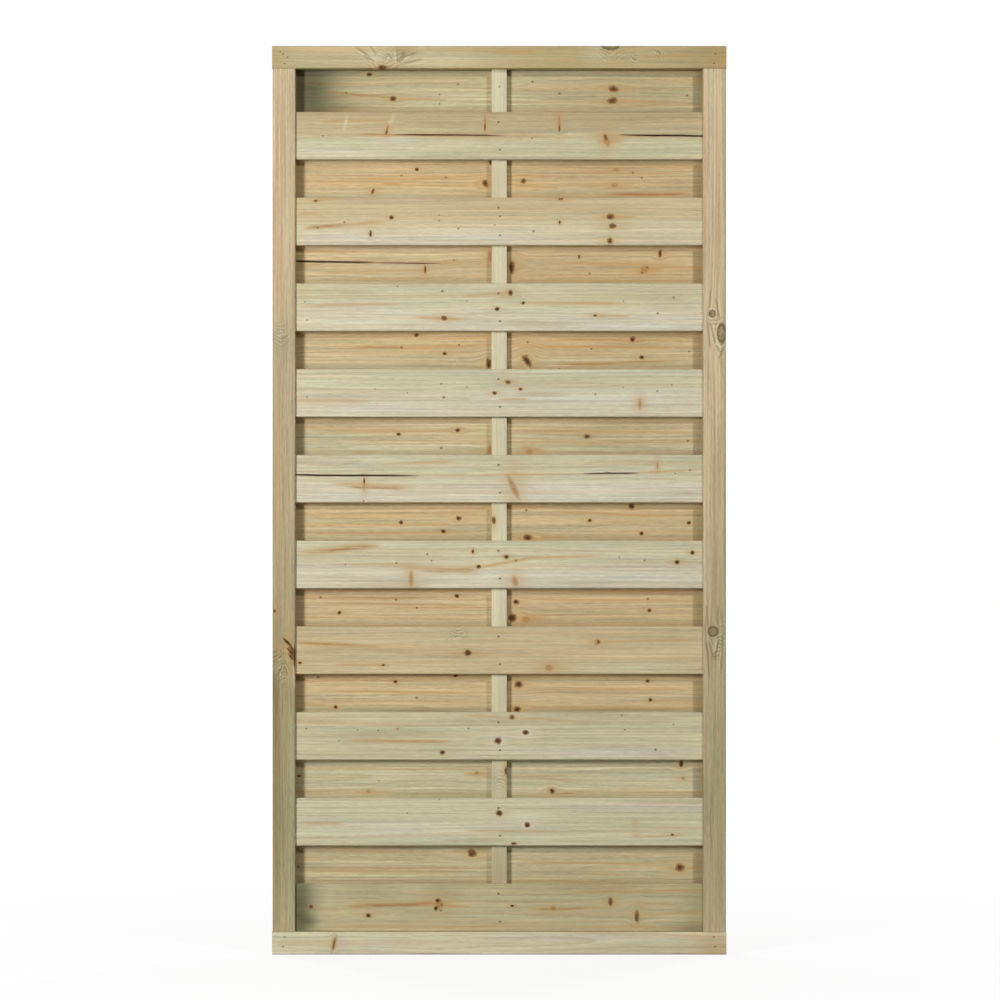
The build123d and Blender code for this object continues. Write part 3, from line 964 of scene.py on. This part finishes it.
# %% Figure
KNOT_FIGURE = 0.35
FAN_LIGHT, FAN_DARK = 0.4, 0.85
HONEY_BAND = (0.52, 0.70)
MOSS_BAND = (0.46, 0.30)
GRAIN_SPAN = (0.34, 0.66)
GRAIN_DARKER, GRAIN_LIGHTER = 1.15, 0.75
PATCH_SHADE = (0.25, 0.75, 0.90, 1.08)
# painted shade on the rear slats: their ends and a strip just above each front slat
END_SHADE_SPAN = (0.378, 0.406)
END_SHADE_STRENGTH = 0.5
LOW_SHADE_SPAN = (-0.022, -0.036)
LOW_SHADE_STRENGTH = 0.36
FRONT_SIDE = (0.004, -0.004)


def lay_figure(board):
    r, look = board.r, board.look
    fan, mask = lay_fans(board)
    straight = r.math("MULTIPLY", board.late, r.math("SUBTRACT", 1.0, mask))
    lively = r.math("MULTIPLY", board.knots["ring"].halo, KNOT_FIGURE)
    board.paint(r.math("MULTIPLY", straight, r.math("ADD", look["figure"], lively)), LATEWOOD)
    if "fan" in board.marks:
        between_lines = r.math("SUBTRACT", mask, r.math("MULTIPLY", fan, 2.0), clamp=True)
        board.paint(between_lines, TONES["chalk"], FAN_LIGHT)
        board.paint(fan, FAN_LINE, FAN_DARK)
    board.paint(r.between(board.band, *HONEY_BAND), TONES["honey"], look["band"])
    board.paint(r.between(board.band, *MOSS_BAND), TONES["moss"], look["band"])
    darkest, lightest = 1.0 - GRAIN_DARKER * look["grain"], 1.0 + GRAIN_LIGHTER * look["grain"]
    shade = r.stretch(board.grain, *GRAIN_SPAN, darkest, lightest)
    slow = r.stretch(board.patch, *PATCH_SHADE)
    board.colour = r.blend(1.0, board.colour, r.math("MULTIPLY", shade, slow), "MULTIPLY")
    if board.kind == "rear":
        along, across, through = r.split(board.place)
        # painted shade: the ends of each rear slat, beside the stiles, are darkened
        board.paint(r.between(r.math("ABSOLUTE", along), *END_SHADE_SPAN), TONES["soaked"], END_SHADE_STRENGTH)
        # painted shade: a darker strip on the face of each rear slat just above the front slat below
        low_shade = r.math("MULTIPLY", r.between(across, *LOW_SHADE_SPAN), r.between(through, *FRONT_SIDE))
        board.paint(low_shade, TONES["soaked"], LOW_SHADE_STRENGTH)


# the painted shade above each front slat fades over this many mm
print("dust fades over", round((LOW_SHADE_SPAN[0] - LOW_SHADE_SPAN[1]) * 1000), "mm above each front slat")

# %% [markdown]
# Resin bleeds along the grain. Its streaks waver with it and are broken by the fibres, and a softer stain of
# the same colour lies round every knot.

# %% Resin
WAVER_SCALE = (13.0, 40.0, 40.0)
WANDER_DRIFT, WAVER_DRIFT = 0.006, 0.005
RESIN_BREAK = (0.32, 0.58)
WAVY_STREAKS = {"amber": ("amber", 0.75), "rust": ("rust", 0.8), "pale": ("chalk", 0.6)}
SHADE_STRENGTH = 0.55
USUAL_GLOW = 0.6


def lay_resin(board):
    r = board.r
    waver = r.math("SUBTRACT", r.noise(board.place, WAVER_SCALE, 1.0), 0.5)
    slow = r.math("MULTIPLY", board.wander, WANDER_DRIFT)
    drift = r.math("ADD", slow, r.math("MULTIPLY", waver, WAVER_DRIFT))
    drifted = r.vector("ADD", board.place, r.join(y=drift))
    broken = r.between(board.grain, *RESIN_BREAK)
    for kind, (tone, strength) in WAVY_STREAKS.items():
        lay_streaks(board, kind, TONES[tone], drifted, r.math("MULTIPLY", broken, strength))
    lay_streaks(board, "shade", TONES["bark"], board.place, SHADE_STRENGTH)
    halo = r.total("MAXIMUM", [board.knots[kind].halo for kind in ("dark", "brown", "spike")])
    board.paint(r.math("MULTIPLY", halo, broken), TONES["amber"], board.marks.get("glow", USUAL_GLOW))


print("resin streaks:", count_marks("amber", "rust"))

# %% [markdown]
# Damp is the last stain. Rain ran in at two corners of the panel and soaked into the front of the boards
# there. Wet wood is the same wood, only darker, so the damp multiplies tone, figure and resin alike.

# %% Damp
DAMP_FEATHER = (0.36, 0.58, 0.78, 1.0)


def soak(board):
    r = board.r
    if "soak" in board.marks:
        feathered = r.stretch(board.grain, *DAMP_FEATHER)
        wet = r.math("MULTIPLY", r.between(r.split(board.place)[2], *FRONT_SIDE), feathered)
        lay_clouds(board, "soak", wet, "MULTIPLY")


print("damp stains:", count_marks("soak"))

# %% [markdown]
# Knots have soft, ragged edges and a dark heart. A ring knot is a sound branch cut straight across: a
# mottled face with faint years of its own, inside a darker rim.

# %% Faces of the knots
ROUGH_SCALE = (270.0, 270.0, 270.0)
RAGGED, RING_RAGGED = 1.4, 0.14
RING_YEARS = 16.0
MOTTLE_SPAN = (0.35, 0.65)
RING_FACE = (1.12, 0.94)
RIM_INSIDE, RIM_OUTSIDE = (0.5, 0.95), (1.3, 1.02)
SPIKE_EDGE, SPECK_EDGE = (1.4, 0.5), (1.7, 0.6)
BROWN_EDGE, DARK_EDGE = (1.4, 0.7), (1.9, 1.0)
BROWN_HEART, DARK_HEART = (0.8, 0.1), (1.3, 0.4)


def paint_ring_knots(board, rough, ragged):
    r = board.r
    ring = r.math("ADD", board.knots["ring"].distance, r.math("MULTIPLY", ragged, RING_RAGGED))
    years = r.stretch(r.math("SINE", r.math("MULTIPLY", ring, RING_YEARS)), -1.0, 1.0, 0.75, 1.0)
    mottle = r.stretch(rough, *MOTTLE_SPAN, 0.55, 1.0)
    face = r.math("MULTIPLY", r.between(ring, *RING_FACE), r.math("MULTIPLY", years, mottle))
    rim = r.math("MULTIPLY", r.between(ring, *RIM_INSIDE), r.between(ring, *RIM_OUTSIDE))
    board.paint(face, TONES["bark"], 0.85)
    board.paint(rim, RING_RIM, 0.65)


def paint_knots(board):
    r = board.r
    rough = r.noise(board.place, ROUGH_SCALE, 3.0)
    ragged = r.math("MULTIPLY", r.math("SUBTRACT", rough, 0.5), RAGGED)
    fields = [board.knots[kind].distance for kind in ("dark", "brown", "spike")]
    dark, brown, spike = (r.math("ADD", field, ragged) for field in fields)
    mottle = r.stretch(rough, *MOTTLE_SPAN, 0.5, 1.0)
    board.paint(r.math("MULTIPLY", r.between(spike, *SPIKE_EDGE), mottle), SPIKE_KNOT, 0.9)
    if "ring" in board.marks:
        paint_ring_knots(board, rough, ragged)
    board.paint(r.between(board.knots["speck"].distance, *SPECK_EDGE), SPECK, 0.75)
    body = r.math("MAXIMUM", r.between(brown, *BROWN_EDGE), r.between(dark, *DARK_EDGE))
    faint_heart = r.math("MULTIPLY", r.between(brown, *BROWN_HEART), 0.5)
    heart = r.math("MAXIMUM", faint_heart, r.between(dark, *DARK_HEART))
    board.paint(body, BROWN_KNOT, 0.9)
    board.paint(heart, DARK_KNOT, 0.88)
    board.knot_face = body


print("knots that show their own rings:", count_marks("ring"))

# %% [markdown]
# Last come dirt and painted shade in the cracks, which don't reach the back of a board, and the bruises
# where the nail gun pressed. Then the surface: fibres stand a little proud, so a fine bump follows the grain,
# and the knots are harder and take a little more shine.

# %% Crack dirt and painted shade, nail bruises and relief
SOUND_BACK = (0.0045, 0.0025)
CRACK_PAINT_SPREAD = 1.3
NAIL_SWAY = 0.0015
NAIL_RISE = 0.0275
NAIL_BRUISE = 0.0021
BRUISE_EDGE = (1.5, 0.8)
RELIEF_SCALE = (45.0, 560.0, 560.0)
DULL, FIBRE_DULL, KNOT_SHINE = 0.66, 0.16, 0.12


def shade_and_dirt_in_cracks(board):
    r = board.r
    if "crack" in board.marks:
        reach = r.between(r.split(board.place)[2], *SOUND_BACK)
        # dirt and painted shade: a brown rim and a dark core along each crack
        lay_streaks(board, "crack", CRACK_EDGE, board.place, r.math("MULTIPLY", reach, 0.8), CRACK_PAINT_SPREAD)
        lay_streaks(board, "crack", CRACK_CORE_DIRT_AND_SHADE, board.place, r.math("MULTIPLY", reach, 0.9))


def bruise_nails(board):
    r = board.r
    if "slat" not in board.name:
        return
    for side in (1, -1):
        bruise = r.group(KNOT, {
            "Place": board.place,
            "Centre": (-side * NAIL_SWAY, side * NAIL_RISE, 0.0),
            "Shrink": (1 / NAIL_BRUISE, 1 / NAIL_BRUISE, 0.0),
        })
        board.paint(r.between(bruise["Distance"], *BRUISE_EDGE), BRUISE, 0.5)


def raise_grain(board):
    r = board.r
    sheen = r.math("ADD", DULL, r.math("MULTIPLY", board.fibre, FIBRE_DULL))
    sheen = r.math("SUBTRACT", sheen, r.math("MULTIPLY", board.knot_face, KNOT_SHINE))
    relief = r.noise(board.place, RELIEF_SCALE, 2.0)
    bump = r.add("ShaderNodeBump", {"Height": relief, "Strength": 0.35, "Distance": 0.0005})
    r.feed(board.shader.inputs["Base Color"], board.colour)
    r.feed(board.shader.inputs["Roughness"], sheen)
    r.feed(board.shader.inputs["Normal"], bump)
    board.shader.inputs["Specular IOR Level"].default_value = 0.15


# these cracks carry both dirt and painted shade
print("cracks with dirt in them:", count_marks("crack"))

# %% [markdown]
# All layers together make one board's timber, and each board of the panel gets its own.

# %% Timber
LAYERS = (grow, lay_tones, lay_figure, lay_resin, soak, paint_knots, shade_and_dirt_in_cracks, bruise_nails, raise_grain)


def timber(name, number):
    """The material of one board."""
    board = Board(name, number)
    for layer in LAYERS:
        layer(board)
    return board.material


def dress(piece, material):
    """Gives a piece one material on all its faces."""
    piece.data.materials.clear()
    piece.data.materials.append(material)


for number, name in enumerate(MARKS):
    dress(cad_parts[name], timber(name, number))
print("timber materials:", len(MARKS))

# %% [markdown]
# Three slats split as they dried. A painted line would do from afar, but a crack catches shadow when the
# light moves, so each one is cut out of the board as a thin wedge, open at the face and closed inside. It is
# widest where it runs out through the end of the board, and fades out where it stops in the wood.

# %% The wedge of a crack
CRACK_DEPTH = 0.006
CRACK_STEPS = 30
END_MARGIN = 20
CLOSING = 2.2
SWELL = 0.8
TIP = 0.05
SLOW_WANDER, QUICK_WANDER = 0.0007, 0.0003
WIDE_FACE, NARROW_ROOT = 1.3, 0.12
TIP_DEPTH = 0.25
OVERSHOOT = 0.0015


def crack_opening(share, x0, x1):
    """How open a crack is, from 0 to 1, at a share of its length. It closes at an end inside the board."""
    opening = 1.0
    if x0 > SEEN_LEFT + END_MARGIN:
        opening *= min(1.0, share * CLOSING)
    if x1 < SEEN_RIGHT - END_MARGIN:
        opening *= min(1.0, (1.0 - share) * CLOSING)
    return max(TIP, opening ** SWELL)


def crack_wedge(row, face):
    """A thin wedge that follows one crack, into the board from the y of its face."""
    x0, y0, x1, y1, half_width = row
    (start_x, start_z), (stop_x, stop_z) = seen(x0, y0), seen(x1, y1)
    bm = bmesh.new()
    bmesh.ops.create_cube(bm, size=1.0)
    long_edges = [edge for edge in bm.edges if abs(edge.verts[0].co.x - edge.verts[1].co.x) > 0.5]
    bmesh.ops.subdivide_edges(bm, edges=long_edges, cuts=CRACK_STEPS)
    for vertex in bm.verts:
        share = vertex.co.x + 0.5
        opening = crack_opening(share, x0, x1)
        inside = vertex.co.y > 0
        wander = SLOW_WANDER * math.sin(share * 9.0 + x0) + QUICK_WANDER * math.sin(share * 31.0 + x1)
        spread = half_width * PIXEL * opening * (NARROW_ROOT if inside else WIDE_FACE)
        vertex.co.x = start_x + (stop_x - start_x) * share
        middle_z = start_z + (stop_z - start_z) * share + wander
        vertex.co.z = middle_z + math.copysign(spread, vertex.co.z)
        depth = CRACK_DEPTH * (TIP_DEPTH + (1.0 - TIP_DEPTH) * opening)
        vertex.co.y = face + (depth if inside else -OVERSHOOT)
    bmesh.ops.recalc_face_normals(bm, faces=bm.faces)
    mesh = bpy.data.meshes.new("wedge")
    bm.to_mesh(mesh)
    bm.free()
    wedge = bpy.data.objects.new("wedge", mesh)
    bpy.context.scene.collection.objects.link(wedge)
    return wedge


print("deepest crack:", CRACK_DEPTH * 1000, "mm")

# %% [markdown]
# The wedges are taken out of a copy of the slat with Boolean modifiers, and the result is kept as its mesh.
# The split slat then stands for the solid one, which stays in the model for contact.

# %% Drying cracks
SAME_CORNER = 1e-6
SHARP_EDGE = math.radians(30)


def copy_solid(name):
    """A copy of a solid whose faces share their corners."""
    bm = bmesh.new()
    bm.from_mesh(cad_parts[name].data)
    bmesh.ops.remove_doubles(bm, verts=bm.verts, dist=SAME_CORNER)
    mesh = bpy.data.meshes.new(name + "_split")
    bm.to_mesh(mesh)
    bm.free()
    piece = bpy.data.objects.new(name + "_split", mesh)
    bpy.context.scene.collection.objects.link(piece)
    return piece


def split_board(name):
    """A copy of a slat with its cracks cut out."""
    piece = copy_solid(name)
    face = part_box(name)[0].y
    wedges = [crack_wedge(row, face) for row in MARKS[name]["crack"]]
    for wedge in wedges:
        cut = piece.modifiers.new("crack", "BOOLEAN")
        cut.operation = "DIFFERENCE"
        cut.solver = "EXACT"
        cut.object = wedge
    bpy.context.view_layer.update()
    shape = bpy.data.meshes.new_from_object(piece.evaluated_get(bpy.context.evaluated_depsgraph_get()))
    piece.modifiers.clear()
    piece.data = shape
    for wedge in wedges:
        bpy.data.objects.remove(wedge)
    dress(piece, bpy.data.materials["pine_" + name])
    shape.shade_smooth()
    shape.set_sharp_from_angle(angle=SHARP_EDGE)
    weighted = piece.modifiers.new("flat faces stay flat", "WEIGHTED_NORMAL")
    weighted.keep_sharp = True
    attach(piece, "root")
    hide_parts(name)
    print(name, "cracks:", len(wedges), "faces:", len(shape.polygons))


for name in MARKS:
    if "crack" in MARKS[name]:
        split_board(name)

# %% [markdown]
# The nails are zinc-coated wire, gone dull. A little noise in colour and roughness keeps the heads from
# looking printed.

# %% Nails
BRIGHT_ZINC, TARNISHED_ZINC = screen(120, 112, 98), screen(66, 58, 48)
TARNISH_SCALE = (900.0, 900.0, 900.0)


def dull_zinc():
    material = bpy.data.materials.new("dull_zinc")
    material.use_nodes = True
    shader = material.node_tree.nodes["Principled BSDF"]
    r = Recipe(material.node_tree)
    place = r.add("ShaderNodeTexCoord", output="Object")
    tarnish = r.noise(place, TARNISH_SCALE, 3.0)
    r.feed(shader.inputs["Base Color"], r.blend(tarnish, BRIGHT_ZINC, TARNISHED_ZINC))
    r.feed(shader.inputs["Roughness"], r.math("ADD", 0.35, r.math("MULTIPLY", tarnish, 0.3)))
    shader.inputs["Metallic"].default_value = 0.8
    return material


NAIL_STEEL = dull_zinc()
NAILS = ("front_slat_nails", "rear_slat_nails", "corner_nails")
for name in NAILS:
    dress(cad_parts[name], NAIL_STEEL)
print("sets of nails:", len(NAILS))

# %% [markdown]
# The stage. The photograph has a plain white ground. White comes from what the camera sees of the floor and
# the world, not from more light on the wood, so the timber keeps its written colours. Near the panel the
# floor still takes its shadow, and further away it fades into the white.

# %% Floor
WHITE = (1.0, 1.0, 1.0, 1.0)
DIM = (0.2, 0.2, 0.2, 1.0)
GROUND_GLOW = 0.85
SHADOW_ENDS = (0.5, 2.0)
FLOOR_HALF = 30.0


def background_ray(r):
    """1 for what the camera sees, straight, in a reflection or through glass."""
    path = r.tree.nodes.new("ShaderNodeLightPath").outputs
    watched = ("Is Camera Ray", "Is Glossy Ray", "Is Transmission Ray")
    return r.total("MAXIMUM", [path[ray] for ray in watched])


def white_ground():
    material = bpy.data.materials.new("white_ground")
    material.use_nodes = True
    r = Recipe(material.node_tree)
    shader = material.node_tree.nodes["Principled BSDF"]
    watched = background_ray(r)
    r.feed(shader.inputs["Base Color"], r.blend(watched, DIM, WHITE))
    shader.inputs["Roughness"].default_value = 0.9
    glow = r.add("ShaderNodeEmission", {"Color": WHITE, "Strength": 1.0})
    away = r.vector("LENGTH", r.add("ShaderNodeTexCoord", output="Object"))
    far = r.math("MULTIPLY", r.between(away, *SHADOW_ENDS), 1.0 - GROUND_GLOW)
    share = r.math("MULTIPLY", watched, r.math("ADD", GROUND_GLOW, far))
    mixed = r.add("ShaderNodeMixShader", {0: share, 1: shader.outputs[0], 2: glow})
    r.feed(material.node_tree.nodes["Material Output"].inputs["Surface"], mixed)
    return material


def make_floor():
    bm = bmesh.new()
    bmesh.ops.create_grid(bm, x_segments=1, y_segments=1, size=FLOOR_HALF)
    mesh = bpy.data.meshes.new("floor")
    bm.to_mesh(mesh)
    bm.free()
    floor = bpy.data.objects.new("floor", mesh)
    bpy.context.scene.collection.objects.link(floor)
    dress(floor, white_ground())
    return floor


make_floor()
print("floor laid, metres across:", 2 * FLOOR_HALF)

# %% [markdown]
# The world has the same two faces as the floor. The camera sees plain white, and the wood sees a nearly dark
# room, so the lamps alone draw the shadows in the gaps.

# %% World
ROOM = (0.03, 0.03, 0.03, 1.0)
world = bpy.data.worlds.new("studio")
bpy.context.scene.world = world
world.use_nodes = True
sky = Recipe(world.node_tree)
sky.feed(world.node_tree.nodes["Background"].inputs["Color"], sky.blend(background_ray(sky), ROOM, WHITE))
print("room light:", ROOM[0])

# %% [markdown]
# The shadows in the gaps tell where the lamps stood. The stiles throw equally wide shadows on both sides,
# darker on the left, so there is a strong lamp on the left and a weaker one on the right. Below the front
# slats only the weaker one throws a clear edge, and it grows towards the floor: that lamp is small and
# stands high, and the strong one is a tall strip. Two more lamps light the back.

# %% Lamps
def lamp(name, place, aim, watts, width, height):
    """A rectangular lamp that faces a point on the panel."""
    light = bpy.data.lights.new(name, "AREA")
    light.shape = "RECTANGLE"
    light.size = width
    light.size_y = height
    light.energy = watts
    piece = bpy.data.objects.new(name, light)
    piece.location = place
    piece.rotation_euler = (Vector(place) - Vector(aim)).to_track_quat("Z", "Y").to_euler()
    bpy.context.scene.collection.objects.link(piece)
    print(name, watts, "W")


MIDDLE = (0.0, 0.0, 0.95)
lamp("left_lamp", (-3.25, -4.5, 1.95), MIDDLE, watts=242.0, width=0.8, height=1.5)
lamp("right_lamp", (3.85, -5.0, 4.05), MIDDLE, watts=191.0, width=0.4, height=0.4)
for name, x in (("back_left_lamp", -3.5), ("back_right_lamp", 3.5)):
    lamp(name, (x, 5.0, 2.6), MIDDLE, watts=200.0, width=1.0, height=1.0)

# %% [markdown]
# The photograph was taken square on, from far away, so a long lens is set back until the panel fills as many
# pixels as it does there.

# %% Camera
LENS = 150.0
SENSOR = 36.0
IMAGE_PIXELS = 1000
FRAME_WIDTH = IMAGE_PIXELS * PIXEL
camera = bpy.data.cameras.new("camera")
camera.lens = LENS
camera.sensor_width = SENSOR
viewer = bpy.data.objects.new("camera", camera)
centre_x = (IMAGE_PIXELS / 2 - (SEEN_LEFT + SEEN_RIGHT) / 2) * PIXEL
centre_z = PANEL_HIGH.z - (IMAGE_PIXELS / 2 - SEEN_TOP) * PIXEL
viewer.location = (centre_x, PANEL_LOW.y - FRAME_WIDTH * LENS / SENSOR, centre_z)
viewer.rotation_euler = (math.radians(90), 0.0, 0.0)
bpy.context.scene.collection.objects.link(viewer)
bpy.context.scene.camera = viewer
bpy.context.scene.view_settings.view_transform = "Standard"
print("camera at", tuple(round(v, 3) for v in viewer.location))
